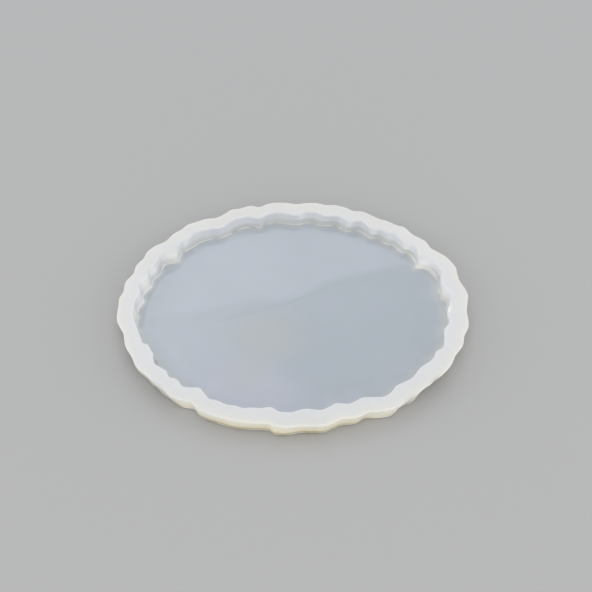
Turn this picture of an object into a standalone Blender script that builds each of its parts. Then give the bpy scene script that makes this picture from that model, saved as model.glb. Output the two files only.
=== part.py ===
"""A shallow one-piece silicone mould for casting a round resin tray with a wavy edge.

The origin is at the middle of the underside. +Z is up and the cavity opens upward. The mould
is one casting, in two zones: a thick wavy wall with a flat rim, and a thin web that closes its
inside. Both edges of the rim, and the foot where the wall meets the web, are closed curves
round the Z axis, each through the tips of its lobes and the bottoms of the notches between
them. The wall is one loft of its section along these curves, because no two places on it have
the same section.
"""

import bpy
import bmesh
import math
import numpy as np

MM = 0.001

# Heights
MOULD_HEIGHT = 11.0 * MM
WEB_THICKNESS = 2.5 * MM
WEB_GAP = 0.3 * MM

# Outer side of the wall: it leans in towards the base, where its edge is round
BASE_ROUND = 2.4 * MM
RIM_OUTER_ROUND = 1.0 * MM

# The lobes stand out more at the base than at the rim, by this share of their height over the
# outline's average within this many degrees
LOBE_SWELL = 0.4
LOBE_SPAN = 24.0

# Inner side of the wall: it leans in towards the web, and meets it in a small cove
RIM_INNER_ROUND = 0.6 * MM
FOOT_COVE = 1.2 * MM

# How far the outer side leans in by the base: (direction in degrees from +X, distance in mm)
OUTER_LEAN = [
    (0, 3.2), (90, 2.8), (180, 2.8), (210, 2.6), (215, 3.7), (218.5, 2.2), (221.5, 4.0),
    (225, 2.2), (228.5, 4.0), (233.5, 2.6), (237, 1.8), (246, 3.2), (252, 2.6), (258, 2.8),
    (264, 1.7), (270, 2.7), (282, 3.3), (285, 2.4), (290, 3.1), (300, 3.5), (307, 5.2),
    (311, 3.0), (318.5, 5.0), (335, 3.4),
]

# How finely the curves are cut
STATIONS = 240
STATION_DEGREES = 360.0 / STATIONS
BASE_STEPS = 3
RIM_STEPS = 2
COVE_STEPS = 2
CREASE_DEGREES = 40.0

# The rim's outer edge: (direction in degrees from +X, distance in mm from the middle)
OUTER_EDGE = [
    (0, 125.8), (4.5, 127.5), (8, 126.6), (12, 125.3), (15, 126.1), (19.5, 128.2),
    (25, 127.4), (28, 125.5), (32, 123.2), (36, 125.1), (41.5, 123.5), (47, 125.7),
    (49.5, 124.1), (54, 123.9), (56.5, 122.9), (60, 123.7), (64, 124.9), (67.5, 122.9), (70.5, 124.9),
    (74.5, 125.7), (78, 124.2), (81.5, 125.6), (85, 124.8), (89, 122.8), (92, 124.5),
    (97, 125.6), (99.5, 124.6), (102.5, 121.9), (106, 125.4), (110, 124.4), (112.5, 125.4),
    (115.5, 122.9), (119.5, 120.9), (123.5, 123.8), (127, 124.9), (130.5, 126.0),
    (134.5, 124.5), (136.7, 124.8), (142.5, 122.9), (147, 125.7), (150.5, 126.5),
    (155, 124.5), (158.5, 125.5), (163.5, 123.7), (168.5, 125.9), (173.5, 124.7),
    (177, 126.3), (180.5, 125.9), (187.5, 126.6), (192, 124.9), (195, 123.6),
    (202, 125.2), (206, 124.8), (212, 126.2), (218.5, 125.0), (222.5, 125.7),
    (225.5, 125.0), (229.5, 126.2), (233, 125.0), (236.3, 122.6), (240, 125.2),
    (245, 126.1), (251, 125.8), (257, 124.8), (262.3, 123.4), (264.5, 125.4),
    (268.5, 125.9), (272.5, 124.8), (279.5, 126.0), (282, 124.6), (285.3, 122.6),
    (290, 124.0), (293.5, 122.6), (297, 125.0), (302, 127.5), (306, 126.6),
    (310, 126.3), (315, 125.0), (317.5, 125.8), (319.7, 125.2), (323, 126.4),
    (328, 126.7), (334, 125.2), (338.5, 126.6), (343.5, 125.4), (348.5, 126.6),
    (356, 124.9),
]

# The rim's inner edge, in the same way
INNER_EDGE = [
    (0, 112.9), (4, 114.6), (8, 113.4), (12, 111.4), (15, 112.8), (19.5, 116.2),
    (24, 115.6), (28, 112.6), (31.5, 110.4), (35.5, 113.6), (41, 111.4), (46.5, 113.7),
    (50, 111.6), (53, 111.5), (56.5, 108.3), (62, 112.8), (66.5, 108.6), (72, 112.2),
    (76.5, 109.6), (81.5, 112.9), (85.5, 112.2), (89, 107.8), (93, 110.8), (97, 112.1),
    (100, 110.9), (104, 107.3), (108.5, 111.6), (113.5, 112.1), (117, 110.0),
    (120.8, 107.3), (126, 111.3), (131.5, 113.7), (135, 111.4), (138, 112.6),
    (143.5, 110.4), (149, 114.9), (155, 113.1), (160, 114.3), (164, 111.6),
    (169, 115.3), (173.5, 112.2), (178, 114.2), (185, 115.0), (190.5, 113.9),
    (196, 113.0), (202, 113.1), (203.8, 110.3), (209, 110.6), (211.5, 113.0),
    (214, 114.4), (217.5, 112.6), (219.5, 112.0), (222.5, 114.0), (225.5, 112.0),
    (229.5, 113.9), (231.5, 112.0), (234.7, 108.3), (237.5, 110.6), (240.7, 113.2),
    (243.5, 112.4), (247, 113.1), (250.5, 112.1), (253, 112.6), (255.3, 110.9),
    (258.5, 110.0), (262, 107.9), (265.5, 111.6), (269, 111.8), (272, 109.8),
    (274, 108.9), (276.5, 109.6), (279.5, 111.2), (282.5, 109.4), (285.3, 107.3),
    (290, 110.3), (295, 108.5), (298.5, 111.2), (302.5, 114.6), (305, 113.8),
    (309, 111.0), (315.5, 112.8), (321.5, 110.8), (328, 113.1), (332, 111.9),
    (335.5, 114.8), (338.5, 113.2), (341, 112.0), (344.3, 110.5), (349, 113.0),
    (354, 110.8),
]

# The wall's foot on the web, in the same way
FOOT_EDGE = [
    (0, 110.8), (5, 112.0), (8, 109.4), (12, 109.6), (14.5, 110.2), (18, 113.4), (22, 113.4),
    (25.5, 111.4), (28.8, 105.4), (31, 108.2), (34, 109.7), (37.5, 111.0), (40, 108.4),
    (43, 109.2), (45.8, 110.6), (48.5, 108.5), (52.8, 109.9), (55.8, 106.6), (58, 107.6),
    (62.5, 110.2), (66.8, 106.2), (69.5, 107.8), (72.5, 110.0), (77.5, 107.7), (79.5, 108.1),
    (82.5, 110.0), (88.8, 106.8), (92, 107.8), (97, 110.0), (101, 109.0), (103.7, 105.8),
    (106, 107.2), (110.5, 109.3), (114, 109.0), (117.5, 106.6), (121.3, 105.9), (125, 108.4),
    (131.5, 111.0), (135, 110.2), (139, 110.1), (142, 108.6), (145.8, 105.3), (147.2, 107.0),
    (150.8, 112.2), (156.5, 109.2), (160.5, 110.4), (164, 108.6), (170.5, 111.3),
    (174, 109.6), (179.5, 112.2), (182.5, 110.9), (187, 112.4), (190.5, 110.9), (196, 110.6),
    (202, 110.6),
    (204, 108.0), (209, 108.2), (214, 111.6), (219.5, 109.6), (222.5, 111.2), (225.5, 109.6),
    (229.5, 111.2), (234.7, 105.0), (240.7, 110.8), (243.5, 110.2), (247, 110.8),
    (250.5, 109.8), (253, 110.2), (258.5, 107.6), (262, 105.0), (265.5, 109.0), (269, 109.4),
    (274, 106.4), (279.5, 108.8), (285.3, 104.4), (290, 108.0), (295, 106.0), (302.5, 112.0),
    (309, 108.6), (315.5, 110.4), (321.5, 108.4), (328, 110.7), (332, 109.4), (335.5, 112.0),
    (340, 111.9), (349, 109.4), (353, 111.2), (357, 110.6),
]


def clear_scene():
    for item in list(bpy.data.objects):
        bpy.data.objects.remove(item, do_unlink=True)


def knot_slopes(gaps, slopes):
    """The slope at each knot of a closed curve: none at a tip or a notch, so nothing overshoots."""
    before = np.roll(slopes, 1)
    before_gap = np.roll(gaps, 1)
    first = 2 * gaps + before_gap
    second = gaps + 2 * before_gap
    turning = before * slopes <= 0
    safe_before = np.where(turning, 1.0, before)
    safe_after = np.where(turning, 1.0, slopes)
    mean = (first + second) / (first / safe_before + second / safe_after)
    return np.where(turning, 0.0, mean)


def edge_distance(knots, directions):
    """Distances from the axis of the closed smooth curve through the knots, in metres."""
    angles = np.array([knot[0] for knot in knots], float)
    radii = np.array([knot[1] for knot in knots], float) * MM
    gaps = np.diff(np.append(angles, angles[0] + 360.0))
    slopes = (np.roll(radii, -1) - radii) / gaps
    tangents = knot_slopes(gaps, slopes)
    index = np.searchsorted(angles, directions, side="right") - 1
    after = (index + 1) % len(knots)
    t = (directions - angles[index]) / gaps[index]
    start = (1 + 2 * t) * (1 - t) ** 2 * radii[index]
    leave = t * (1 - t) ** 2 * gaps[index] * tangents[index]
    arrive = t**2 * (t - 1) * gaps[index] * tangents[after]
    end = t**2 * (3 - 2 * t) * radii[after]
    return start + leave + arrive + end


def arc(radius, steps):
    """Points of a quarter circle: how far each has gone across and up from its start."""
    angles = [0.5 * math.pi * k / steps for k in range(steps + 1)]
    return [(radius * math.sin(a), radius * (1 - math.cos(a))) for a in angles]


def base_section():
    """The round edge at the outer side's base: (distance in from where it ends, height)."""
    return [(BASE_ROUND - across, up) for across, up in arc(BASE_ROUND, BASE_STEPS)]


def rim_section():
    """The round edge at the outer side's top: (distance in from the outer edge, height)."""
    return [
        (up, MOULD_HEIGHT - RIM_OUTER_ROUND + across)
        for across, up in arc(RIM_OUTER_ROUND, RIM_STEPS)
    ]


def mouth_section():
    """The round edge at the inner side's top: (distance in from the inner edge, height)."""
    return [
        (across - RIM_INNER_ROUND, MOULD_HEIGHT - up)
        for across, up in arc(RIM_INNER_ROUND, RIM_STEPS)
    ]


def foot_section():
    """The cove on the web, then the foot down to the underside: (distance in, height)."""
    cove = [
        (up - FOOT_COVE, WEB_THICKNESS + FOOT_COVE - across)
        for across, up in arc(FOOT_COVE, COVE_STEPS)
    ]
    return cove + [(0.0, 0.0)]


class Outline:
    """The wall's edges, cut at even directions and centred on the origin."""

    def __init__(self):
        degrees = np.arange(STATIONS) * STATION_DEGREES
        self.cosines = np.cos(np.radians(degrees))
        self.sines = np.sin(np.radians(degrees))
        self.outer = edge_distance(OUTER_EDGE, degrees)
        self.inner = edge_distance(INNER_EDGE, degrees)
        self.foot = edge_distance(FOOT_EDGE, degrees)
        self.base = self.outer_base(degrees)
        across = self.outer * self.cosines
        along = self.outer * self.sines
        self.middle = ((across.max() + across.min()) / 2, (along.max() + along.min()) / 2)

    def outer_base(self, degrees):
        """Where the outer side reaches the base: leant in, with its lobes swollen."""
        reach = round(LOBE_SPAN / 2 / STATION_DEGREES)
        nearby = [np.roll(self.outer, k) for k in range(-reach, reach + 1)]
        lobes = self.outer - np.mean(nearby, axis=0)
        return self.outer + LOBE_SWELL * lobes - edge_distance(OUTER_LEAN, degrees)

    def ring(self, distances, height):
        """The points at these distances from the axis, one for each direction."""
        return [
            (r * c - self.middle[0], r * s - self.middle[1], height)
            for r, c, s in zip(distances, self.cosines, self.sines)
        ]


def silicone(name, colour, roughness):
    """A plain silicone of this linear colour."""
    material = bpy.data.materials.new(name)
    material.use_nodes = True
    shader = material.node_tree.nodes["Principled BSDF"]
    shader.inputs["Base Color"].default_value = (*colour, 1.0)
    shader.inputs["Roughness"].default_value = roughness
    shader.inputs["Metallic"].default_value = 0.0
    return material


def add_object(name, data, collection, material):
    item = bpy.data.objects.new(name, data)
    item.data.materials.append(material)
    collection.objects.link(item)
    return item


def perimeter_wall(outline, collection):
    """A closed loft of the wall's section round the outline."""
    rings = [outline.ring(outline.base - inset, z) for inset, z in base_section()]
    rings += [outline.ring(outline.outer - inset, z) for inset, z in rim_section()]
    rings += [outline.ring(outline.inner - inset, z) for inset, z in mouth_section()]
    rings += [outline.ring(outline.foot - inset, z) for inset, z in foot_section()]
    shape = bmesh.new()
    loops = [[shape.verts.new(point) for point in ring] for ring in rings]
    for this, following in zip(loops, loops[1:] + loops[:1]):
        for k in range(STATIONS):
            onward = (k + 1) % STATIONS
            shape.faces.new((this[k], this[onward], following[onward], following[k]))
    bmesh.ops.recalc_face_normals(shape, faces=shape.faces)
    mesh = bpy.data.meshes.new("perimeter_wall")
    shape.to_mesh(mesh)
    shape.free()
    mesh.shade_smooth()
    mesh.set_sharp_from_angle(angle=math.radians(CREASE_DEGREES))
    milky_white = silicone("milky_silicone", (0.72, 0.72, 0.70), 0.5)
    return add_object("perimeter_wall", mesh, collection, milky_white)


def casting_floor(outline, collection):
    """The flat web inside the wall's foot, as an extruded outline."""
    reach = outline.foot - WEB_GAP
    curve = bpy.data.curves.new("casting_floor", "CURVE")
    curve.dimensions = "2D"
    curve.fill_mode = "BOTH"
    curve.extrude = WEB_THICKNESS / 2
    spline = curve.splines.new("POLY")
    spline.points.add(STATIONS - 1)
    for point, place in zip(spline.points, outline.ring(reach, 0.0)):
        point.co = (*place, 1.0)
    spline.use_cyclic_u = True
    clear_blue = silicone("translucent_silicone", (0.47, 0.51, 0.56), 0.4)
    web = add_object("casting_floor", curve, collection, clear_blue)
    web.location.z = WEB_THICKNESS / 2
    return web


def main():
    clear_scene()
    collection = bpy.data.collections.new("resin_casting_mould")
    bpy.context.scene.collection.children.link(collection)
    outline = Outline()
    perimeter_wall(outline, collection)
    casting_floor(outline, collection)


main()
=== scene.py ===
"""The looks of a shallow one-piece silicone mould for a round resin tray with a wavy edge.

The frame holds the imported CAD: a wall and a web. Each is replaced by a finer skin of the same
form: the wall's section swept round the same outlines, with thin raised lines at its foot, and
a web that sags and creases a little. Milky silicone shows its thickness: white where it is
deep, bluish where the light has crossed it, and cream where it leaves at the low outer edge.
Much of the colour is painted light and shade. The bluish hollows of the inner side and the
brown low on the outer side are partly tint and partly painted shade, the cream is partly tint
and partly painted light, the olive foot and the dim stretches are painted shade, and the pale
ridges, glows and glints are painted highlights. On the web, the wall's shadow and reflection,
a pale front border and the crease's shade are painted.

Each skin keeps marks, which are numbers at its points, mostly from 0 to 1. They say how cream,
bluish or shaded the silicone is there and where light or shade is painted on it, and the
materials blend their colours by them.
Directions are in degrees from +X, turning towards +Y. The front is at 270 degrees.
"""

import bpy
import math
import numpy as np
from mathutils import Euler, Matrix, Vector


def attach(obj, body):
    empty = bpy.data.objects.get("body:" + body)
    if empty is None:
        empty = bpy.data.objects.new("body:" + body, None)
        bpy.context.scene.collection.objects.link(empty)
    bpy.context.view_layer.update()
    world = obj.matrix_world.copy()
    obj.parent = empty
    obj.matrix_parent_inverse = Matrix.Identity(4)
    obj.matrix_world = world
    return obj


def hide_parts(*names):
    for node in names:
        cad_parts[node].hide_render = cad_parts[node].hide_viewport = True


MM = 0.001

# The mould's section, as in the CAD
MOULD_HEIGHT = 11.0 * MM
WEB_THICKNESS = 2.5 * MM
BASE_ROUND = 2.4 * MM
RIM_OUTER_ROUND = 1.0 * MM
RIM_INNER_ROUND = 0.6 * MM
FOOT_COVE = 1.2 * MM
LOBE_SWELL = 0.4
LOBE_SPAN = 24.0

# How far the outer side leans in by the base: (direction, distance in mm)
OUTER_LEAN = [
    (0, 3.2), (90, 2.8), (180, 2.8), (210, 2.6), (215, 3.7), (218.5, 2.2), (221.5, 4.0),
    (225, 2.2), (228.5, 4.0), (233.5, 2.6), (237, 1.8), (246, 3.2), (252, 2.6), (258, 2.8),
    (264, 1.7), (270, 2.7), (282, 3.3), (285, 2.4), (290, 3.1), (300, 3.5), (307, 5.2),
    (311, 3.0), (318.5, 5.0), (335, 3.4),
]

# The rim's outer edge: (direction, distance in mm from the middle)
OUTER_EDGE = [
    (0, 125.8), (4.5, 127.5), (8, 126.6), (12, 125.3), (15, 126.1), (19.5, 128.2), (25, 127.4),
    (28, 125.5), (32, 123.2), (36, 125.1), (41.5, 123.5), (47, 125.7), (49.5, 124.1), (54, 123.9),
    (56.5, 122.9), (60, 123.7), (64, 124.9), (67.5, 122.9), (70.5, 124.9), (74.5, 125.7),
    (78, 124.2), (81.5, 125.6), (85, 124.8), (89, 122.8), (92, 124.5), (97, 125.6), (99.5, 124.6),
    (102.5, 121.9), (106, 125.4), (110, 124.4), (112.5, 125.4), (115.5, 122.9), (119.5, 120.9),
    (123.5, 123.8), (127, 124.9), (130.5, 126.0), (134.5, 124.5), (136.7, 124.8), (142.5, 122.9),
    (147, 125.7), (150.5, 126.5), (155, 124.5), (158.5, 125.5), (163.5, 123.7), (168.5, 125.9),
    (173.5, 124.7), (177, 126.3), (180.5, 125.9), (187.5, 126.6), (192, 124.9), (195, 123.6),
    (202, 125.2), (206, 124.8), (212, 126.2), (218.5, 125.0), (222.5, 125.7), (225.5, 125.0),
    (229.5, 126.2), (233, 125.0), (236.3, 122.6), (240, 125.2), (245, 126.1), (251, 125.8),
    (257, 124.8), (262.3, 123.4), (264.5, 125.4), (268.5, 125.9), (272.5, 124.8), (279.5, 126.0),
    (282, 124.6), (285.3, 122.6), (290, 124.0), (293.5, 122.6), (297, 125.0), (302, 127.5),
    (306, 126.6), (310, 126.3), (315, 125.0), (317.5, 125.8), (319.7, 125.2), (323, 126.4),
    (328, 126.7), (334, 125.2), (338.5, 126.6), (343.5, 125.4), (348.5, 126.6), (356, 124.9),
]

# The rim's inner edge, in the same way
INNER_EDGE = [
    (0, 112.9), (4, 114.6), (8, 113.4), (12, 111.4), (15, 112.8), (19.5, 116.2), (24, 115.6),
    (28, 112.6), (31.5, 110.4), (35.5, 113.6), (41, 111.4), (46.5, 113.7), (50, 111.6),
    (53, 111.5), (56.5, 108.3), (62, 112.8), (66.5, 108.6), (72, 112.2), (76.5, 109.6),
    (81.5, 112.9), (85.5, 112.2), (89, 107.8), (93, 110.8), (97, 112.1), (100, 110.9),
    (104, 107.3), (108.5, 111.6), (113.5, 112.1), (117, 110.0), (120.8, 107.3), (126, 111.3),
    (131.5, 113.7), (135, 111.4), (138, 112.6), (143.5, 110.4), (149, 114.9), (155, 113.1),
    (160, 114.3), (164, 111.6), (169, 115.3), (173.5, 112.2), (178, 114.2), (185, 115.0),
    (190.5, 113.9), (196, 113.0), (202, 113.1), (203.8, 110.3), (209, 110.6), (211.5, 113.0),
    (214, 114.4), (217.5, 112.6), (219.5, 112.0), (222.5, 114.0), (225.5, 112.0), (229.5, 113.9),
    (231.5, 112.0), (234.7, 108.3), (237.5, 110.6), (240.7, 113.2), (243.5, 112.4), (247, 113.1),
    (250.5, 112.1), (253, 112.6), (255.3, 110.9), (258.5, 110.0), (262, 107.9), (265.5, 111.6),
    (269, 111.8), (272, 109.8), (274, 108.9), (276.5, 109.6), (279.5, 111.2), (282.5, 109.4),
    (285.3, 107.3), (290, 110.3), (295, 108.5), (298.5, 111.2), (302.5, 114.6), (305, 113.8),
    (309, 111.0), (315.5, 112.8), (321.5, 110.8), (328, 113.1), (332, 111.9), (335.5, 114.8),
    (338.5, 113.2), (341, 112.0), (344.3, 110.5), (349, 113.0), (354, 110.8),
]

# The wall's foot on the web, in the same way
FOOT_EDGE = [
    (0, 110.8), (5, 112.0), (8, 109.4), (12, 109.6), (14.5, 110.2), (18, 113.4), (22, 113.4),
    (25.5, 111.4), (28.8, 105.4), (31, 108.2), (34, 109.7), (37.5, 111.0), (40, 108.4),
    (43, 109.2), (45.8, 110.6), (48.5, 108.5), (52.8, 109.9), (55.8, 106.6), (58, 107.6),
    (62.5, 110.2), (66.8, 106.2), (69.5, 107.8), (72.5, 110.0), (77.5, 107.7), (79.5, 108.1),
    (82.5, 110.0), (88.8, 106.8), (92, 107.8), (97, 110.0), (101, 109.0), (103.7, 105.8),
    (106, 107.2), (110.5, 109.3), (114, 109.0), (117.5, 106.6), (121.3, 105.9), (125, 108.4),
    (131.5, 111.0), (135, 110.2), (139, 110.1), (142, 108.6), (145.8, 105.3), (147.2, 107.0),
    (150.8, 112.2), (156.5, 109.2), (160.5, 110.4), (164, 108.6), (170.5, 111.3), (174, 109.6),
    (179.5, 112.2), (182.5, 110.9), (187, 112.4), (190.5, 110.9), (196, 110.6), (202, 110.6),
    (204, 108.0), (209, 108.2), (214, 111.6), (219.5, 109.6), (222.5, 111.2), (225.5, 109.6),
    (229.5, 111.2), (234.7, 105.0), (240.7, 110.8), (243.5, 110.2), (247, 110.8), (250.5, 109.8),
    (253, 110.2), (258.5, 107.6), (262, 105.0), (265.5, 109.0), (269, 109.4), (274, 106.4),
    (279.5, 108.8), (285.3, 104.4), (290, 108.0), (295, 106.0), (302.5, 112.0), (309, 108.6),
    (315.5, 110.4), (321.5, 108.4), (328, 110.7), (332, 109.4), (335.5, 112.0), (340, 111.9),
    (349, 109.4), (353, 111.2), (357, 110.6),
]

# How finely the skins are cut
STATIONS = 720
STATION_DEGREES = 360.0 / STATIONS
FLAT_STEPS = 4
BASE_STEPS = 7
SIDE_STEPS = 13
RIM_STEPS = 6
TOP_STEPS = 10
COVE_STEPS = 10
SHARP_DEGREES = 50.0

# What the casting shows beyond its section
SIDE_BULGE = 0.35 * MM
SIDE_RIPPLE = 0.16 * MM
NICK_DEPTH = 0.5 * MM
RIM_UNEVEN = 0.10 * MM
MOUTH_ROUND = 0.8 * MM
RIDGE_ROUND = 1.0 * MM
LIP_HEIGHT = 0.30 * MM
LIP_WIDTH = 0.70 * MM
UPPER_LIP = 1.6 * MM
WEB_SAG = 0.12 * MM
WEB_UNEVEN = 0.05 * MM
CREASE_DEPTH = 0.06 * MM
CREASE_WIDTH = 1.5 * MM

# The outer side: a painted highlight line above the base edge, and the height where the brown ends,
# which is partly the silicone's tint and partly painted shade
BASE_LINE = 1.3 * MM
BASE_LINE_WIDTH = 0.8 * MM
BASE_SHADE_TOP = 4.8 * MM

# Where the outer side and the rim take painted shade, a painted highlight or a cooler tint:
# (direction, half width)
DIM_SIDES = [(204, 7), (222, 7), (320, 7)]
BRIGHT_SIDES = [(234.5, 3), (297, 8)]
DIM_RIMS = [(223, 3), (308.5, 2.5), (320, 2.5)]
COOL_RIMS = [(222, 22)]

# Ridges of the inner side that show pale, with a rounder mouth: (direction, half width). The
# paleness is a painted highlight where they catch the light.
PALE_RIDGES = [
    (8, 4.0), (27.2, 2.4), (39, 1.5), (54.8, 1.3), (66, 1.0), (86.5, 1.0), (137, 1.0),
    (145.8, 2.4), (159, 2.2), (166, 1.8), (175.5, 2.2), (234.7, 2.5), (262, 2.0), (285.3, 2.0),
    (321.5, 2.5),
]

# Ridges of the inner side with a cream foot, and its hollows in shade: (direction, half width).
# The cream foot is painted light, and the hollows' shade is painted.
WARM_RIDGES = [
    (8, 4), (27.5, 1.8), (39, 1.5), (147, 2.5), (160, 2), (166, 2), (175.5, 2.5), (183, 2.5),
]
INNER_DIMS = [(208, 4)]

# How bluish the inner side is between its ridges: (direction, share). The blue is partly the
# silicone's tint and partly painted shade.
BLUE_SIDES = [
    (0, 0.05), (12, 0.1), (20, 0.4), (24, 0.75), (140, 0.75), (145, 0.3), (149, 1.0),
    (155.5, 1.0), (158, 0.3), (161, 0.9), (163, 0.9), (165, 0.1), (169, 0.5), (172, 0.7),
    (174, 0.1), (178, 0.6), (181, 0.5), (185, 0.1), (195, 0.2), (203, 0.4), (206, 1.0),
    (212, 1.0), (215, 0.4), (330, 0.4), (345, 0.25),
]

# How olive the inner side gets above its foot: (direction, share). The olive is painted shade.
FOOT_SHADES = [
    (0, 0.3), (9, 0.1), (12, 0.2), (15.5, 0.6), (22, 0.9), (26, 0.15), (29, 0.1), (34, 1.0),
    (42, 0.9), (50, 0.9), (58, 1.0), (70, 1.0), (90, 0.9), (100, 0.7), (110, 1.1), (122, 1.0),
    (131, 1.0), (138, 0.7), (143, 0.5), (148, 0.7), (152, 0.7), (156, 0.7), (161, 0.6),
    (166, 0.15), (171, 0.3), (175, 0.0), (185, 0.3), (191, 0.5), (195, 0.4), (203, 0.5),
    (208, 1.0), (213, 0.4), (340, 0.25),
]

# Where the olive painted shade is a narrower band
NARROW_SHADES = [(123, 22)]

# Stretches that glow, of the foot, the inner side and the rim's inner edge: (from, to, strength).
# The glows and glints are painted light.
FOOT_GLOWS = [
    (5, 11, 0.2), (20, 26, 0.3), (27, 36, 0.6), (38, 45, 0.5), (55, 60, 0.7), (67, 72, 0.3),
    (76.5, 79.5, 0.35), (87, 94, 0.5), (104, 116, 0.2), (117, 136, 0.6), (141, 153, 0.9),
    (158, 163, 0.2), (163.5, 169, 0.8), (172, 178, 1.0), (231, 238, 0.6), (259, 274, 0.4),
    (300, 311, 0.6), (330, 341, 0.5),
]
WALL_GLOWS = [(4, 11, 0.6), (181, 187, 0.7), (352, 358, 0.9)]
RIM_GLINTS = [(354.5, 357.5, 1.0)]
GLOW_SOFTNESS = 1.5
GLINT_SOFTNESS = 0.5

# The raised line at the foot: (direction, mm up the cove from the foot's edge, strength). It
# carries a painted highlight.
LIP_LINE = [
    (0, 0.1, 0.2), (15, 0.1, 0.4), (20, 0.2, 0.8), (26, 0.3, 0.7), (34, 0.5, 0.75),
    (42, 0.4, 0.7), (50, -0.4, 0.6), (57, 0.3, 0.75), (70, -0.2, 0.5), (90, -0.4, 0.6),
    (100, -0.5, 0.35), (110, -0.2, 0.5), (122, -0.3, 0.6), (131, -0.5, 0.7), (143, 0.3, 0.75),
    (147.5, 0.4, 0.85), (151.5, -0.5, 0.8), (160, 0.2, 0.6), (167, 0.5, 0.85), (175, 0.6, 1.0),
    (185, 0.3, 0.3), (195, 0.1, 0.2), (340, 0.1, 0.2),
]

# Where a second raised line runs above it: (from, to, strength). It carries a painted highlight
# too.
UPPER_LINES = [(20, 36, 0.7), (117, 135, 0.15), (143, 150, 0.3), (164, 169, 0.4), (173, 178, 0.7)]

# How far in mm the wall darkens the web before it, and how much: (direction, reach, amount).
# The darkening is the wall's painted shadow and painted reflection.
WEB_SHADOWS = [
    (0, 0, 0), (8, 3, 0.4), (20, 1, 0.2), (40, 7, 0.25), (60, 10, 0.15), (125, 10, 0.2),
    (140, 7, 0.5), (150.5, 9, 0.7), (156, 4.5, 0.95), (170, 4.5, 0.9), (182, 4, 0.95),
    (195, 1, 0.5), (210, 0, 0), (340, 0, 0),
]

# Where the web's colour deepens in front of a line, and a crease: (x, y) in mm from the middle
TONE_LINE = [
    (-105, -3), (-73, -3), (-60, 2), (-32, 11), (-10, 14), (5, 19), (25, 36), (43, 43), (75, 52),
    (105, 62),
]
TONE_WIDTH = 6.0 * MM
CREASE_LINE = [(-54, -9), (-31, 0), (-2, 12), (25, 28), (50, 36), (85, 46)]

# Places where the web is yellowish or violet: (x, y, reach) in mm
STAINS = [(-22, -26, 24), (-34, -62, 16)]
VIOLETS = [(-50, -70, 22), (-24, -88, 24)]

# How deep the web's colour is behind the line, at the left, and what it gains to the right
BACK_DEPTH = 0.15
BACK_DEPTH_GAIN = 0.33
GAIN_SPAN = (-90 * MM, 30 * MM)

# What the zone in front of the line adds to that, in the same way, and what the crease adds as
# painted shade along its fold
FRONT_DEPTH = 0.26
FRONT_DEPTH_GAIN = 0.26
CREASE_DEPTH_GAIN = 0.25
LINE_WANDER = 2 * MM

# The pale border of the web at the front, painted light where the front wall lets light through:
# its width, how far back it goes at the left and at the right, and how softly it ends
BORDER_WIDTH = 24 * MM
BORDER_END_LEFT = -45 * MM
BORDER_END_RIGHT = 10 * MM
BORDER_FADE = 55 * MM

# How pale it is at the left, and what it loses by the middle and by the far right
BORDER_PALENESS = 0.89
MIDDLE_LOSS = 0.19
MIDDLE_SPAN = (-60 * MM, 0.0)
RIGHT_LOSS = 0.16
RIGHT_SPAN = (40 * MM, 100 * MM)

# How softly the wall's shadow on the web ends, across its edge
SHADOW_EDGE = (-2 * MM, 1.5 * MM)

# The web's rings get closer to square as the web narrows, and halve in number near the middle
WEB_SHRINK = 0.982
WEB_CORE = 3.0 * MM
WEB_HALVING = 0.75
EDGE_RINGS = 14
FEWEST_STATIONS = 12

# How strong the marks are. On the outer side
BASE_SHADE_AMOUNT = 0.82
CREAM_LOSS = 0.82
BRIGHT_CREAM = 0.9
BRIGHT_GLEAM = 0.4
FRONT_GLEAM = 0.22
DIM_LOSS = 0.4

# On the rim and its mouth
RIM_EDGE_CREAM = 0.34
RIM_EDGE_CREAM_LOSS = 0.24
RIM_TOP_CREAM = 0.06
RIM_DIM = 0.07
RIM_STREAK = 0.3
MOUTH_BLUE = 0.5
BACK_MOUTH_BLUE = 0.3
BACK_MOUTH_DIM = 0.1
MOUTH_GLOW = 0.9

# On the inner side, its foot and the web
SIDE_GLEAM = 0.3
INNER_GLOW = 0.6
FOOT_GLOW = 0.2
RIDGE_CREAM = 0.22
INNER_STREAK = 0.4
BLUE_LOSS = 0.8
NARROW_BLUE = 0.2
NARROW_OLIVE = 0.18
WEB_LIP_GLEAM = 0.25
SHADOW_HIDES_EDGE = 3.5
STAIN_AMOUNT = 0.6
VIOLET_SHARE = 0.7

# Colours of the wall's silicone, as linear red, green and blue. The bluish and brown are partly
# its tints and partly painted shade, and the cream partly its tint and partly painted light; the
# lavender, olive and dim grey are painted shade, and the glint a painted highlight
WARM_WHITE = (0.790, 0.787, 0.765)
COOL_WHITE = (0.755, 0.770, 0.785)
BLUISH = (0.63, 0.65, 0.69)
LAVENDER_SHADE = (0.37, 0.38, 0.44)
CREAM = (0.92, 0.85, 0.62)
OLIVE_SHADE = (0.50, 0.52, 0.50)
BASE_BROWN = (0.42, 0.37, 0.24)
DIM_CREAM = (0.42, 0.415, 0.39)
STREAK_CREAM = (0.60, 0.58, 0.52)
GLINT = (0.97, 0.97, 0.93)

# Colours of the web's silicone, and how far in from the foot the edge's colour goes
WEB_PALE = (0.510, 0.550, 0.605)
WEB_DEEP = (0.410, 0.450, 0.500)
WEB_GREEN = (0.455, 0.480, 0.480)
WEB_VIOLET = (0.505, 0.515, 0.595)
WEB_EDGE = (0.555, 0.572, 0.560)
WEB_EDGE_WIDTH_MM = 9.0

# Features of the noise in a metre: slow clouds, dimples and fine grain
WALL_CLOUDS, WALL_DIMPLES, WALL_GRAIN = 28.0, 90.0, 420.0
WEB_CLOUDS, WEB_DIMPLES, WEB_GRAIN = 16.0, 60.0, 300.0
NOISE_MIDDLE = (0.3, 0.7)

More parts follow.
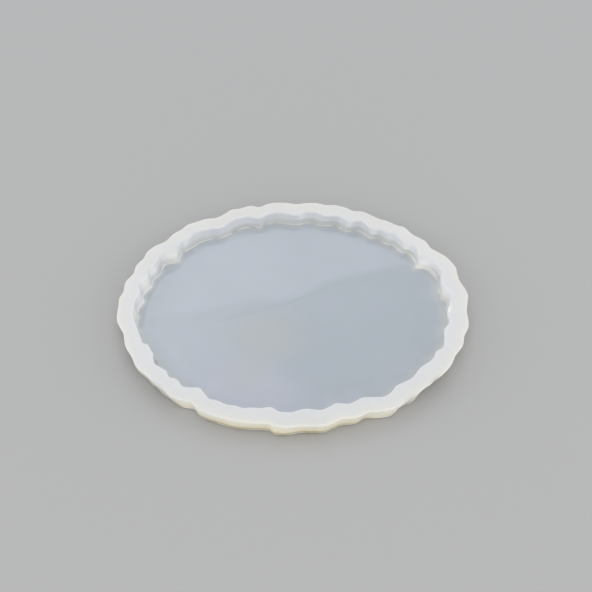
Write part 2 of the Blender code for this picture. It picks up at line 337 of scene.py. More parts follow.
# The surfaces: roughness that drifts with the clouds, what the grain adds or takes, and relief
WALL_ROUGHNESS, WALL_GRAIN_ROUGHNESS, WALL_RELIEF = (0.38, 0.48), 0.03, 0.06 * MM
WEB_ROUGHNESS, WEB_GRAIN_ROUGHNESS, WEB_RELIEF = (0.06, 0.09), 0.01, 0.01 * MM
SILICONE_IOR = 1.41

# The stage: the floor's half width, its grey, how far it lies below the mould, and the sky
FLOOR_HALF = 4.0
FLOOR_GREY = (0.50, 0.50, 0.50, 1.0)
FLOOR_GAP = 0.2 * MM
SKY_STRENGTH = 0.72

# Soft lights that face the mould: (name, place, (width, height), power in watts, colour)
WHITE = (1.0, 1.0, 1.0)
LIGHTS = [
    ("back", (0.0, 1.5, 1.32), (1.3, 1.2), 5.0, (0.84, 0.92, 1.0)),
    ("left", (-1.5, 0.0, 0.45), (1.2, 0.8), 4.5, WHITE),
    ("right", (1.5, 0.0, 0.45), (1.2, 0.8), 4.5, WHITE),
    ("front", (0.0, -1.7, 0.50), (1.8, 0.9), 9.0, WHITE),
]

# Camera: where it stands, how far it looks down, how far it is turned about its own axis
CAMERA_PLACE = (1.63 * MM, -742.77 * MM, 629.88 * MM)
CAMERA_DOWN = 39.49
CAMERA_ROLL = -0.197
LENS_MM = 81.58
SENSOR_MM = 36.0

DEGREES = np.arange(STATIONS) * STATION_DEGREES
COSINES = np.cos(np.radians(DEGREES))
SINES = np.sin(np.radians(DEGREES))


# ---------------------------------------------------------------- curves


def knot_slopes(gaps, slopes):
    """The slope at each knot of a closed curve: none at a tip or a notch, so nothing overshoots."""
    before = np.roll(slopes, 1)
    before_gap = np.roll(gaps, 1)
    first = 2 * gaps + before_gap
    second = gaps + 2 * before_gap
    turning = before * slopes <= 0
    safe_before = np.where(turning, 1.0, before)
    safe_after = np.where(turning, 1.0, slopes)
    mean = (first + second) / (first / safe_before + second / safe_after)
    return np.where(turning, 0.0, mean)


def closed_curve(knots, directions=DEGREES, column=1):
    """The closed smooth curve through this column of the knots, in the knots' own unit."""
    angles = np.array([knot[0] for knot in knots], float)
    values = np.array([knot[column] for knot in knots], float)
    gaps = np.diff(np.append(angles, angles[0] + 360.0))
    slopes = (np.roll(values, -1) - values) / gaps
    tangents = knot_slopes(gaps, slopes)
    wrapped = (directions - angles[0]) % 360.0 + angles[0]
    index = np.searchsorted(angles, wrapped, side="right") - 1
    after = (index + 1) % len(knots)
    t = (wrapped - angles[index]) / gaps[index]
    start = (1 + 2 * t) * (1 - t) ** 2 * values[index]
    leave = t * (1 - t) ** 2 * gaps[index] * tangents[index]
    arrive = t**2 * (t - 1) * gaps[index] * tangents[after]
    end = t**2 * (3 - 2 * t) * values[after]
    return start + leave + arrive + end


def nearby_mean(values, span):
    """The mean of a closed curve's values within this many degrees."""
    reach = round(span / 2 / STATION_DEGREES)
    return np.mean([np.roll(values, k) for k in range(-reach, reach + 1)], axis=0)


def waves(seed, lowest, highest):
    """An even random wave round the axis, about -1 to 1, of this many to that many periods."""
    draw = np.random.RandomState(seed)
    total = np.zeros(STATIONS)
    for count in range(lowest, highest + 1):
        turn = draw.uniform(0, 2 * math.pi)
        total += draw.uniform(0.4, 1.0) * np.sin(np.radians(DEGREES) * count + turn)
    return total / np.abs(total).max()


def smooth_step(low, high, value):
    """0 at low and beyond it, 1 at high and beyond it, and a smooth change between them."""
    t = np.clip((value - low) / (high - low), 0.0, 1.0)
    return t * t * (3 - 2 * t)


def bumps(places):
    """A soft peak of 1 at each (direction, half width), for each direction round the axis."""
    total = np.zeros(STATIONS)
    for direction, half_width in places:
        turn = (DEGREES - direction + 180.0) % 360.0 - 180.0
        total += np.exp(-((turn / half_width) ** 2))
    return np.minimum(total, 1.0)


def stretches(spans, softness):
    """The strength within each (from, to, strength), softly falling to 0 outside."""
    total = np.zeros(STATIONS)
    for start, end, strength in spans:
        inside = (end - start) / 2 - np.abs(DEGREES - (start + end) / 2)
        total = np.maximum(total, strength * smooth_step(-softness, softness, inside))
    return total


def line_profile(away, width):
    """How much of a thin line is left this far from its middle."""
    return np.exp(-((away / width) ** 2) * 2)


def arc(radius, steps):
    """Points of a quarter circle: how far each has gone across and up from its start."""
    angles = [0.5 * math.pi * k / steps for k in range(steps + 1)]
    return [(radius * math.sin(a), radius * (1 - math.cos(a))) for a in angles]


# ---------------------------------------------------------------- values for each direction


OUTER = closed_curve(OUTER_EDGE) * MM
INNER = closed_curve(INNER_EDGE) * MM
FOOT = closed_curve(FOOT_EDGE) * MM
LOBES = OUTER - nearby_mean(OUTER, LOBE_SPAN)
BASE = OUTER + LOBE_SWELL * LOBES - closed_curve(OUTER_LEAN) * MM

# Where the middle of the mould's box, which is the frame's origin, lies from the edges' axis
MIDDLE = [((OUTER * along).max() + (OUTER * along).min()) / 2 for along in (COSINES, SINES)]

# How much a direction points to the back, to either side and to the front
BACKWARD = smooth_step(0.2, 0.6, SINES)
SIDEWARD = smooth_step(0.5, 0.9, np.abs(COSINES))
FORWARD = smooth_step(0.3, 0.8, -SINES)

# On the outer side and the rim. Their cream is partly the silicone's tint and partly painted light,
# most at the front; the dim stretches are painted shade, the bright ones and the glint painted
# highlights
CREAMINESS = 0.2 + 0.4 * smooth_step(0.4, 0.7, -SINES) + 0.4 * smooth_step(0.86, 0.97, -SINES)
DIMNESS = 0.8 * bumps(DIM_SIDES)
BRIGHTNESS = bumps(BRIGHT_SIDES)
EDGE_DIM = 0.13 * FORWARD + 0.6 * bumps(DIM_RIMS)
COOLNESS = 0.8 * bumps(COOL_RIMS)
RIM_GLINT = stretches(RIM_GLINTS, GLINT_SOFTNESS)
BASE_BREAKS = np.clip(0.55 + 1.2 * waves(41, 8, 60), 0.0, 1.0)
STREAKS = waves(31, 45, 140)

# On the inner side. The pale ridges, cream ridge feet and glows are painted light, the blue is
# partly tint and partly painted shade, and the dim hollow is painted shade
PALE = bumps(PALE_RIDGES)
WARMTH = bumps(WARM_RIDGES)
BLUENESS = closed_curve(BLUE_SIDES)
INNER_DIM = 0.45 * bumps(INNER_DIMS)
WALL_GLOW = stretches(WALL_GLOWS, GLOW_SOFTNESS)

# At the foot, with painted glows, olive painted shade and the raised lines' painted highlights:
# BREAKS is how the raised lines come and go
GLOW = stretches(FOOT_GLOWS, GLOW_SOFTNESS)
FOOT_SHADE = closed_curve(FOOT_SHADES)
NARROWNESS = bumps(NARROW_SHADES)
BREAKS = waves(13, 25, 90)
LIP_PLACE = closed_curve(LIP_LINE) * MM
LIP_STRENGTH = np.clip(closed_curve(LIP_LINE, column=2) + 0.5 * GLOW + 0.9 * BREAKS, 0.05, 1.0)
UPPER_STRENGTH = np.clip(
    stretches(UPPER_LINES, GLOW_SOFTNESS) * (0.8 + 0.8 * BREAKS), 0.0, 1.0,
)


# ---------------------------------------------------------------- meshes


def ring(distances, height):
    """The points at these distances from the axis, one for each direction."""
    across = distances * COSINES - MIDDLE[0]
    along = distances * SINES - MIDDLE[1]
    return np.stack([across, along, np.broadcast_to(height, (STATIONS,))], axis=1)


def add_mesh(name, points, faces, marks):
    """A smooth mesh object, with each mark kept as a number at every point."""
    mesh = bpy.data.meshes.new(name)
    mesh.from_pydata([tuple(point) for point in points], [], faces)
    for mark, values in marks.items():
        layer = mesh.attributes.new(mark, "FLOAT", "POINT")
        layer.data.foreach_set("value", np.ascontiguousarray(values, dtype=np.float32))
    mesh.validate()
    mesh.update()
    mesh.shade_smooth()
    mesh.set_sharp_from_angle(angle=math.radians(SHARP_DEGREES))
    item = bpy.data.objects.new(name, mesh)
    bpy.context.scene.collection.objects.link(item)
    return item


class Section:
    """Rings round the axis, each with its marks. A mark that isn't given is 0."""

    def __init__(self, *marks):
        self.rings = []
        self.marks = {mark: [] for mark in marks}

    def add(self, distances, height, **marks):
        """One more ring, at these distances from the axis and this height."""
        self.rings.append(ring(distances, height))
        for name, rows in self.marks.items():
            rows.append(np.broadcast_to(marks.get(name, 0.0), (STATIONS,)))

    def closed_loft(self, name):
        """A mesh through all the rings, with the last joined to the first."""
        count = len(self.rings)
        faces = []
        for row in range(count):
            this, following = row * STATIONS, ((row + 1) % count) * STATIONS
            for k in range(STATIONS):
                onward = (k + 1) % STATIONS
                faces.append((this + k, this + onward, following + onward, following + k))
        marks = {mark: np.concatenate(rows) for mark, rows in self.marks.items()}
        return add_mesh(name, np.concatenate(self.rings), faces, marks)


def wall_skin():
    """The wall, from its underside out, up and in again to the foot."""
    section = Section(
        "edge_light", "lobe_shade", "foot_shade", "gleam", "across", "streak", "dim", "base_shade",
        "inner_dim",
    )
    nicks = NICK_DEPTH * np.clip(waves(37, 90, 170) - 0.3, 0.0, 1.0)
    ripple = SIDE_RIPPLE * waves(3, 40, 110) - nicks
    rim_wave = RIM_UNEVEN * (waves(7, 3, 14) - 1)
    back_round = MOUTH_ROUND + RIDGE_ROUND * PALE
    mouth_round = RIM_INNER_ROUND + back_round * smooth_step(0.0, 0.4, SINES)
    add_base(section, ripple)
    add_outer_side(section, ripple)
    add_rim(section, rim_wave, mouth_round)
    add_mouth(section, rim_wave, mouth_round)
    add_inner_side(section, mouth_round)
    add_cove(section)
    section.add(FOOT, 0.5 * WEB_THICKNESS)
    return section.closed_loft("wall_skin")


def add_base(section, ripple):
    """The flat underside and the rounding at its outer edge."""
    for k in range(FLAT_STEPS):
        t = k / FLAT_STEPS
        section.add(FOOT + t * (BASE - BASE_ROUND - FOOT), 0.0)
    for across, up in arc(BASE_ROUND, BASE_STEPS):
        t = smooth_step(0.0, 1.0, up / BASE_ROUND)
        # A painted highlight line along the rounding; the brown is partly tint and partly painted
        # shade, and the dim stretches are painted shade
        bright = line_profile(up - BASE_LINE, BASE_LINE_WIDTH)
        section.add(
            BASE - BASE_ROUND + across + t * ripple, up, edge_light=CREAMINESS, streak=STREAKS,
            dim=DIMNESS, base_shade=BASE_SHADE_AMOUNT * t * (1 - BRIGHTNESS),
            gleam=bright * BASE_BREAKS * FORWARD * (1 - DIMNESS),
        )


def add_outer_side(section, ripple):
    """The leaning outer side: brown and cream at its foot, whiter towards the rim. The brown is
    partly tint and partly painted shade, the cream partly tint and partly painted light, and its
    dim and bright stretches and whiter top at the front are painted shade and painted light.
    """
    side_top = MOULD_HEIGHT - RIM_OUTER_ROUND
    bulge = SIDE_BULGE * (0.6 + 0.4 * waves(5, 6, 25))
    for k in range(1, SIDE_STEPS):
        t = k / SIDE_STEPS
        place = BASE + t * (OUTER - BASE) + math.sin(math.pi * t) * bulge + (1 - t) ** 2 * ripple
        height = BASE_ROUND + t * (side_top - BASE_ROUND)
        low = 1 - smooth_step(BASE_ROUND, BASE_SHADE_TOP, height)
        cream = (1 - CREAM_LOSS * smooth_step(0.2, 1.2, t)) * CREAMINESS
        bright_cream = BRIGHT_CREAM * (1 - smooth_step(0.4, 1.3, t)) * BRIGHTNESS
        front_gleam = FRONT_GLEAM * smooth_step(0.45, 0.9, t) * FORWARD
        section.add(
            place, height, edge_light=np.maximum(cream, bright_cream), streak=STREAKS,
            dim=np.maximum((1 - DIM_LOSS * t) * DIMNESS, EDGE_DIM * smooth_step(0.8, 1.0, t)),
            base_shade=BASE_SHADE_AMOUNT * low * (1 - BRIGHTNESS),
            gleam=np.maximum(front_gleam, BRIGHT_GLEAM * BRIGHTNESS) * (1 - DIMNESS),
        )


def add_rim(section, rim_wave, mouth_round):
    """The rounding of the rim's outer edge and the rim's uneven top."""
    side_top = MOULD_HEIGHT - RIM_OUTER_ROUND
    crown = RIM_UNEVEN * waves(11, 10, 40)
    for across, up in arc(RIM_OUTER_ROUND, RIM_STEPS):
        share = across / RIM_OUTER_ROUND
        # The edge's cream is partly tint and partly painted light, with painted shade over it
        section.add(
            OUTER - up, side_top + across + share * rim_wave,
            edge_light=(RIM_EDGE_CREAM - RIM_EDGE_CREAM_LOSS * share) * CREAMINESS,
            dim=EDGE_DIM * (1 - 0.6 * share), across=COOLNESS,
        )
    rim_out, rim_in = OUTER - RIM_OUTER_ROUND, INNER + mouth_round
    for k in range(1, TOP_STEPS):
        t = k / TOP_STEPS
        lift = rim_wave + math.sin(math.pi * t) * crown
        # Painted shade towards the front and back and by the outer edge, and a painted glint by the
        # inner edge
        section.add(
            rim_out + t * (rim_in - rim_out), MOULD_HEIGHT + lift,
            edge_light=RIM_TOP_CREAM * (1 - smooth_step(0.0, 0.35, t)),
            across=np.maximum(t * (1 - 0.5 * BACKWARD), COOLNESS), streak=RIM_STREAK * STREAKS,
            gleam=smooth_step(0.8, 1.0, t) * RIM_GLINT,
            dim=np.maximum(RIM_DIM * SINES**2, 0.4 * EDGE_DIM * (1 - 8 * t)),
        )


def add_mouth(section, rim_wave, mouth_round):
    """The rounding of the rim's inner edge."""
    for across, up in arc(1.0, RIM_STEPS):
        height = MOULD_HEIGHT - up * mouth_round + (1 - up) * rim_wave
        # Bluish partly tint and partly painted shade, painted light on the sides and in glows, and
        # painted shade at the back and in the dim hollow
        blue = MOUTH_BLUE * up + BACK_MOUTH_BLUE * smooth_step(0.0, 0.5, up) * BACKWARD
        glow = np.maximum(SIDE_GLEAM * SIDEWARD * (1 - INNER_DIM), MOUTH_GLOW * WALL_GLOW) * up
        section.add(
            INNER + mouth_round - across * mouth_round, height,
            lobe_shade=blue * (1 - PALE) * BLUENESS, across=1 - 0.5 * (1 - up) * BACKWARD,
            gleam=np.maximum(glow, RIM_GLINT), dim=BACK_MOUTH_DIM * BACKWARD * (1 - up),
            inner_dim=INNER_DIM * up,
        )


def add_inner_side(section, mouth_round):
    """The inner side: pale ridges and bluish hollows, olive towards the foot. Its pale ridges,
    cream ridge feet and glows are painted light, its olive painted shade, and its blue partly tint
    and partly painted shade.
    """
    mouth_low, cove_top = MOULD_HEIGHT - mouth_round, WEB_THICKNESS + FOOT_COVE
    for k in range(1, SIDE_STEPS):
        t = k / SIDE_STEPS
        fall = BLUE_LOSS * smooth_step(0.3, 1.0, t - NARROW_BLUE * NARROWNESS) * (1 - INNER_DIM)
        side_gleam = SIDE_GLEAM * SIDEWARD * (1 - smooth_step(0.3, 0.9, t))
        foot_glow = FOOT_GLOW * GLOW**2 * smooth_step(0.8, 1.0, t)
        wall_glow = INNER_GLOW * WALL_GLOW * (1 - smooth_step(0.5, 1.0, t))
        section.add(
            INNER + t * (FOOT + FOOT_COVE - INNER), mouth_low + t * (cove_top - mouth_low),
            lobe_shade=(1 - fall) * (1 - PALE) * BLUENESS,
            foot_shade=smooth_step(0.45, 0.85, t - NARROW_OLIVE * NARROWNESS) * FOOT_SHADE,
            gleam=np.maximum(np.maximum(foot_glow, side_gleam), wall_glow) * (1 - INNER_DIM),
            edge_light=RIDGE_CREAM * WARMTH * smooth_step(0.2, 0.8, t),
            across=1.0, streak=INNER_STREAK * STREAKS, inner_dim=INNER_DIM,
        )


def add_cove(section):
    """The cove at the foot of the inner side, with its raised lines. Their brightness is a painted
    highlight, and the olive in the cove painted shade.
    """
    cove_top = WEB_THICKNESS + FOOT_COVE
    for step, (across, up) in enumerate(arc(FOOT_COVE, COVE_STEPS)):
        along = FOOT_COVE * 0.5 * math.pi * (1 - step / COVE_STEPS)
        lower = LIP_STRENGTH * line_profile(along - LIP_PLACE, LIP_WIDTH)
        upper = UPPER_STRENGTH * line_profile(along - UPPER_LIP, LIP_WIDTH)
        raised = np.maximum(lower, upper)
        section.add(
            FOOT + FOOT_COVE - up, cove_top - across + LIP_HEIGHT * raised,
            gleam=np.maximum(raised, FOOT_GLOW * GLOW**2) * (1 - INNER_DIM),
            foot_shade=FOOT_SHADE, edge_light=RIDGE_CREAM * WARMTH, across=1.0,
            inner_dim=INNER_DIM,
        )


def disc_rings():
    """Shares of the foot's distance for the web's rings, with how many stations each has."""
    radius = float(np.mean(FOOT))
    rows = [(1 - LIP_WIDTH * k / 3 / radius, STATIONS) for k in range(EDGE_RINGS)]
    share, count = rows[-1][0], STATIONS
    while share * radius > WEB_CORE:
        roomy = share < WEB_HALVING * count / STATIONS
        if roomy and count % 2 == 0 and count > FEWEST_STATIONS:
            count //= 2
        share *= 1 - (1 - WEB_SHRINK) * STATIONS / count / 2
        rows.append((share, count))
    return rows


def disc(rows):
    """The web's points seen from above and its faces: rings from the foot in, then the centre."""
    outline = ring(FOOT, 0.0)[:, :2]
    points, starts = [], []
    for share, count in rows:
        starts.append(len(points))
        points.extend(outline[:: STATIONS // count] * share)
    centre = len(points)
    points.append(np.zeros(2))
    faces = []
    for (_, count), (_, inner), this, following in zip(rows, rows[1:], starts, starts[1:]):
        for k in range(inner):
            onward = (k + 1) % inner
            if count == inner:
                faces.append((this + k, this + onward, following + onward, following + k))
                continue
            left, middle, right = this + 2 * k, this + 2 * k + 1, this + 2 * onward
            faces.append((left, middle, following + k))
            faces.append((middle, following + onward, following + k))
            faces.append((middle, right, following + onward))
    last, count = starts[-1], rows[-1][1]
    faces += [(last + k, last + (k + 1) % count, centre) for k in range(count)]
    return np.array(points), faces


def over_disc(values, rows):
    """These values for each direction, at every point of the disc. The centre gets 0."""
    return np.concatenate([values[:: STATIONS // count] for _, count in rows] + [[0.0]])


def web_skin():
    """The web as a closed disc: its top uneven and creased, its underside flat."""
    rows = disc_rings()
    flat, faces = disc(rows)
    share = np.concatenate([np.full(count, share) for share, count in rows] + [[0.0]])
    inset = (1 - share) * float(np.mean(FOOT))
    strength = over_disc(LIP_STRENGTH, rows)
    raised = strength * line_profile(inset + over_disc(LIP_PLACE, rows), LIP_WIDTH)
    # A painted highlight on the raised line, and a fainter one just beside it
    beside_lip = 1 - smooth_step(0.2 * MM, 2.4 * MM, inset)
    gleam = np.maximum(raised, WEB_LIP_GLEAM * strength * beside_lip)
    uneven = WEB_UNEVEN * smooth_step(0.0, 0.12, 1 - share) * slow_field(flat, seed=17)
    lift = uneven - WEB_SAG * (1 - share**2) - CREASE_DEPTH * crease(flat)
    top = np.column_stack([flat, WEB_THICKNESS + lift + LIP_HEIGHT * raised])
    under = np.column_stack([flat, np.zeros(len(flat))])

    size = len(flat)
    faces += [tuple(size + corner for corner in reversed(face)) for face in faces]
    for k in range(STATIONS):
        onward = (k + 1) % STATIONS
        faces.append((onward, k, size + k, size + onward))
    marks = {
        # The edge's colour reaches less far where the wall's painted shadow falls
        "from_foot": np.tile(inset / MM + SHADOW_HIDES_EDGE * shadow(flat), 2),
        "gleam": np.append(gleam, np.zeros(size)),
        "tone": np.tile(tone(flat, inset), 2),
        "stain": np.tile(stain(flat, STAINS), 2),
        "violet": np.tile(VIOLET_SHARE * stain(flat, VIOLETS), 2),
    }
    return add_mesh("web_skin", np.concatenate([top, under]), faces, marks)


def tone(flat, inset):
    """How deep the web's colour is: deeper in front and to the right, paler near the front wall.
    The pale border is painted light, and the crease's shade and the wall's shadow are painted.
    """
    x, y = flat[:, 0], flat[:, 1]
    knots = np.array(TONE_LINE) * MM
    line = np.interp(x, knots[:, 0], knots[:, 1]) + LINE_WANDER * slow_field(flat, seed=23)
    across = smooth_step(*GAIN_SPAN, x)
    in_front = smooth_step(-TONE_WIDTH, TONE_WIDTH, line - y)
    depth = BACK_DEPTH + BACK_DEPTH_GAIN * across
    depth += in_front * (FRONT_DEPTH + FRONT_DEPTH_GAIN * across)

    rightness = smooth_step(*MIDDLE_SPAN, x)
    far_right = smooth_step(*RIGHT_SPAN, x)
    border_end = BORDER_END_LEFT + (BORDER_END_RIGHT - BORDER_END_LEFT) * rightness
    backward = smooth_step(border_end, border_end + BORDER_FADE, y)
    paleness = BORDER_PALENESS - MIDDLE_LOSS * rightness - RIGHT_LOSS * far_right
    border = (1 - backward) * (1 - smooth_step(0.0, BORDER_WIDTH, inset)) * paleness
    return depth + CREASE_DEPTH_GAIN * crease(flat) - border + shadow(flat)


def shadow(flat):
    """How much the wall darkens the web before it, up to a line more even than the foot. The
    darkening is the wall's painted shadow and painted reflection.
    """
    place = flat + np.array(MIDDLE)
    directions = np.degrees(np.arctan2(place[:, 1], place[:, 0])) % 360.0
    even_foot = np.interp(directions, DEGREES, nearby_mean(FOOT, LOBE_SPAN), period=360.0)
    reach = closed_curve(WEB_SHADOWS, directions) * MM
    amount = closed_curve(WEB_SHADOWS, directions, column=2)
    past = np.hypot(place[:, 0], place[:, 1]) - (even_foot - reach)
    return amount * smooth_step(*SHADOW_EDGE, past)


def crease(flat):
    """A shallow fold along part of the tone's edge, strongest at its left end. The tone also takes
    painted shade along it.
    """
    x, y = flat[:, 0], flat[:, 1]
    knots = np.array(CREASE_LINE) * MM
    away = y - np.interp(x, knots[:, 0], knots[:, 1])
    left, right = knots[0, 0], knots[-1, 0]
    from_left = smooth_step(left - 4 * MM, left + 2 * MM, x)
    to_right = 1 - smooth_step(0.0, right, x)
    return from_left * to_right * np.exp(-((away / CREASE_WIDTH) ** 2))


def stain(flat, places):
    """How much the web's colour has shifted round these places: fully within half the reach,
    and not at all past 1.6 times the reach."""
    total = np.zeros(len(flat))
    for x, y, reach in np.array(places) * MM:
        far = np.hypot(flat[:, 0] - x, flat[:, 1] - y) / reach + 0.3 * slow_field(flat, seed=29)
        total = np.maximum(total, smooth_step(1.6, 0.5, far))
    return STAIN_AMOUNT * total


def slow_field(flat, seed):
    """A smooth uneven field over the web, about -1 to 1: 18 waves of 30 to 160 mm."""
    draw = np.random.RandomState(seed)
    total = np.zeros(len(flat))
    for _ in range(18):
        length = draw.uniform(30 * MM, 160 * MM)
        heading = draw.uniform(0, math.pi)
        wave = flat @ np.array([math.cos(heading), math.sin(heading)]) * 2 * math.pi / length
        total += length * np.sin(wave + draw.uniform(0, 2 * math.pi))
    return total / np.abs(total).max()


# ---------------------------------------------------------------- materials


class Shading:
    """A node material, built up from its Principled shader."""

    def __init__(self, name, **values):
        self.material = bpy.data.materials.new(name)
        self.material.use_nodes = True
        self.tree = self.material.node_tree
        self.shader = self.tree.nodes["Principled BSDF"]
        for socket, value in values.items():
            self.shader.inputs[socket.replace("_", " ")].default_value = value
        self.place = self.add("ShaderNodeTexCoord").outputs["Object"]

    def add(self, kind, links=None, **settings):
        """A node with these settings. Each socket gets a link or a value."""
        node = self.tree.nodes.new(kind)
        for name, value in settings.items():
            setattr(node, name, value)
        for socket, source in (links or {}).items():
            if isinstance(source, bpy.types.NodeSocket):
                self.tree.links.new(source, node.inputs[socket])
            else:
                node.inputs[socket].default_value = source
        return node

    def noise(self, scale, detail=2.0, distortion=0.0):
        """A noise from 0 to 1, with features about one in scale metres long."""
        links = {"Vector": self.place, "Scale": scale, "Detail": detail, "Distortion": distortion}
        return self.add("ShaderNodeTexNoise", links).outputs["Fac"]

    def mark(self, name):
        """The number that the mesh keeps under this name."""
        return self.add("ShaderNodeAttribute", attribute_name=name).outputs["Fac"]

    def spread(self, source, low, high, to_low, to_high):
        """The source, stretched smoothly from low..high to to_low..to_high."""
        links = {
            "Value": source, "From Min": low, "From Max": high, "To Min": to_low, "To Max": to_high,
        }
        node = self.add("ShaderNodeMapRange", links, interpolation_type="SMOOTHSTEP")
        return node.outputs["Result"]

    def times(self, first, second):
        return self.add("ShaderNodeMath", {0: first, 1: second}, operation="MULTIPLY").outputs[0]

    def plus(self, first, second):
        return self.add("ShaderNodeMath", {0: first, 1: second}, operation="ADD").outputs[0]

    def blend(self, first, second, amount):
        """The first colour, covered by the second as far as the amount says. A colour is a link
        or three linear numbers."""
        links = {"Factor": amount}
        for socket, colour in ((6, first), (7, second)):
            is_link = isinstance(colour, bpy.types.NodeSocket)
            links[socket] = colour if is_link else (*colour, 1.0)
        return self.add("ShaderNodeMix", links, data_type="RGBA").outputs[2]

    def roughness(self, cloud, span, fine, grain):
        """A roughness that goes over this span with the clouds, and varies with the grain."""
        slow = self.spread(cloud, *NOISE_MIDDLE, *span)
        return self.plus(slow, self.spread(fine, *NOISE_MIDDLE, -grain, grain))

    def finish(self, colour, roughness, height, relief):
        """The material, with a fine relief this deep."""
        links = {"Height": height, "Distance": relief, "Strength": 1.0}
        bump = self.add("ShaderNodeBump", links)
        self.tree.links.new(colour, self.shader.inputs["Base Color"])
        self.tree.links.new(roughness, self.shader.inputs["Roughness"])
        self.tree.links.new(bump.outputs["Normal"], self.shader.inputs["Normal"])
        return self.material


def milky_silicone():
    """The wall's silicone: satin, milky, with faint clouds, streaks and grain, and painted light
    and shade.
    """
    shading = Shading(
        "milky_silicone", Subsurface_Weight=0.6, Subsurface_Scale=3.0 * MM, IOR=SILICONE_IOR,
        Subsurface_Radius=(1.0, 0.9, 0.72), Coat_Weight=0.0,
    )
    cloud = shading.noise(WALL_CLOUDS, detail=3.0)
    fine = shading.noise(WALL_GRAIN)
    streak = shading.spread(shading.mark("streak"), 0.0, 0.9, 0.0, 0.25)
    colour = shading.blend(WARM_WHITE, COOL_WHITE, shading.mark("across"))
    # Bluish between the ridges: partly tint, partly painted shade
    colour = shading.blend(colour, BLUISH, shading.mark("lobe_shade"))
    # Cream: partly tint, partly painted light
    colour = shading.blend(colour, CREAM, shading.mark("edge_light"))
    # Painted shade: olive at the foot, dim stretches and a lavender hollow; brown low on the outer
    # side, partly tint
    colour = shading.blend(colour, OLIVE_SHADE, shading.times(shading.mark("foot_shade"), 0.7))
    colour = shading.blend(colour, BASE_BROWN, shading.mark("base_shade"))
    colour = shading.blend(colour, DIM_CREAM, shading.mark("dim"))
    colour = shading.blend(colour, LAVENDER_SHADE, shading.mark("inner_dim"))
    colour = shading.blend(colour, STREAK_CREAM, streak)
    # Painted highlights, glows and glints
    colour = shading.blend(colour, GLINT, shading.mark("gleam"))
    colour = shading.blend(colour, BLUISH, shading.spread(cloud, 0.45, 0.8, 0.0, 0.10))
    roughness = shading.roughness(cloud, WALL_ROUGHNESS, fine, WALL_GRAIN_ROUGHNESS)
    height = shading.plus(shading.times(fine, 0.3), shading.noise(WALL_DIMPLES))
    return shading.finish(colour, roughness, height, WALL_RELIEF)


def translucent_silicone():
    """The web's silicone: smooth and glossy, bluish grey with soft tones, and painted light and
    shade.
    """
    shading = Shading(
        "translucent_silicone", Subsurface_Weight=0.2, Subsurface_Scale=2.0 * MM,
        IOR=SILICONE_IOR, Subsurface_Radius=(0.8, 0.9, 1.0), Coat_Weight=0.0,
    )
    cloud = shading.noise(WEB_CLOUDS, detail=3.0, distortion=0.4)
    fine = shading.noise(WEB_GRAIN)
    drift = shading.spread(cloud, *NOISE_MIDDLE, -0.10, 0.10)
    edge = shading.spread(shading.mark("from_foot"), 0.0, WEB_EDGE_WIDTH_MM, 0.8, 0.0)
    # The tone carries a pale border of painted light, painted shade along the crease, and the
    # wall's painted shadow and reflection
    colour = shading.blend(WEB_PALE, WEB_DEEP, shading.plus(shading.mark("tone"), drift))
    colour = shading.blend(colour, WEB_GREEN, shading.mark("stain"))
    colour = shading.blend(colour, WEB_VIOLET, shading.mark("violet"))
    colour = shading.blend(colour, WEB_EDGE, edge)
    # Painted highlights along the foot's raised line
    colour = shading.blend(colour, GLINT, shading.mark("gleam"))
    roughness = shading.roughness(cloud, WEB_ROUGHNESS, fine, WEB_GRAIN_ROUGHNESS)
    height = shading.plus(shading.times(fine, 0.2), shading.noise(WEB_DIMPLES))
    return shading.finish(colour, roughness, height, WEB_RELIEF)


# ---------------------------------------------------------------- stage


def add_stage():
    """A plain pale floor under the mould."""
    mesh = bpy.data.meshes.new("stage_floor")
    half = FLOOR_HALF
    corners = [(-half, -half, 0), (half, -half, 0), (half, half, 0), (-half, half, 0)]
    mesh.from_pydata(corners, [], [(0, 1, 2, 3)])
    floor = bpy.data.objects.new("stage_floor", mesh)
    bpy.context.scene.collection.objects.link(floor)
    material = bpy.data.materials.new("stage_paper")
    material.use_nodes = True
    shader = material.node_tree.nodes["Principled BSDF"]
    shader.inputs["Base Color"].default_value = FLOOR_GREY
    shader.inputs["Roughness"].default_value = 0.9
    shader.inputs["Specular IOR Level"].default_value = 0.1
    mesh.materials.append(material)
    floor.location.z = -FLOOR_GAP


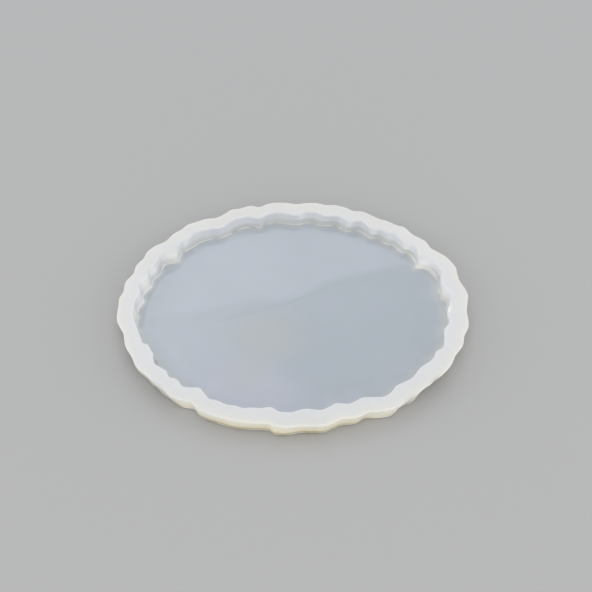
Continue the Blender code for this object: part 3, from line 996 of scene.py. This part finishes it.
def add_lights():
    """An even pale sky and four soft boxes that face the mould."""
    world = bpy.data.worlds.new("studio")
    world.use_nodes = True
    sky = world.node_tree.nodes["Background"]
    sky.inputs["Color"].default_value = (*WHITE, 1.0)
    sky.inputs["Strength"].default_value = SKY_STRENGTH
    bpy.context.scene.world = world
    for name, place, size, power, colour in LIGHTS:
        light = bpy.data.lights.new(name, "AREA")
        light.shape = "RECTANGLE"
        light.size, light.size_y = size
        light.energy = power
        light.color = colour
        item = bpy.data.objects.new(name, light)
        item.location = place
        aim = Vector((0.0, 0.0, 0.0)) - Vector(place)
        item.rotation_euler = aim.to_track_quat("-Z", "Y").to_euler()
        bpy.context.scene.collection.objects.link(item)


def add_camera():
    """A camera at the height and angle of a table-top picture."""
    camera = bpy.data.objects.new("camera", bpy.data.cameras.new("camera"))
    camera.data.sensor_width = SENSOR_MM
    camera.data.lens = LENS_MM
    camera.data.clip_start = 0.01
    camera.data.clip_end = 20.0
    down = Euler((math.radians(90.0 - CAMERA_DOWN), 0.0, 0.0)).to_matrix().to_4x4()
    roll = Matrix.Rotation(math.radians(CAMERA_ROLL), 4, "Z")
    camera.matrix_world = Matrix.Translation(CAMERA_PLACE) @ down @ roll
    bpy.context.scene.collection.objects.link(camera)
    bpy.context.scene.camera = camera


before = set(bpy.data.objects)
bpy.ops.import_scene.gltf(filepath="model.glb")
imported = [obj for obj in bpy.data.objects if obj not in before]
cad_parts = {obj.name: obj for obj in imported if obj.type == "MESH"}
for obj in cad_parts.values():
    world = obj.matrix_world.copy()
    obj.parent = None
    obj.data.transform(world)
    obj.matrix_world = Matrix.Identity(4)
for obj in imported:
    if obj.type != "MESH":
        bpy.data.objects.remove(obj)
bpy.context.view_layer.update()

wall = wall_skin()
wall.data.materials.append(milky_silicone())
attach(wall, "root")
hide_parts("perimeter_wall")

web = web_skin()
web.data.materials.append(translucent_silicone())
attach(web, "root")
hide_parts("casting_floor")

add_stage()
add_lights()
add_camera()
bpy.context.scene.view_settings.view_transform = "Standard"
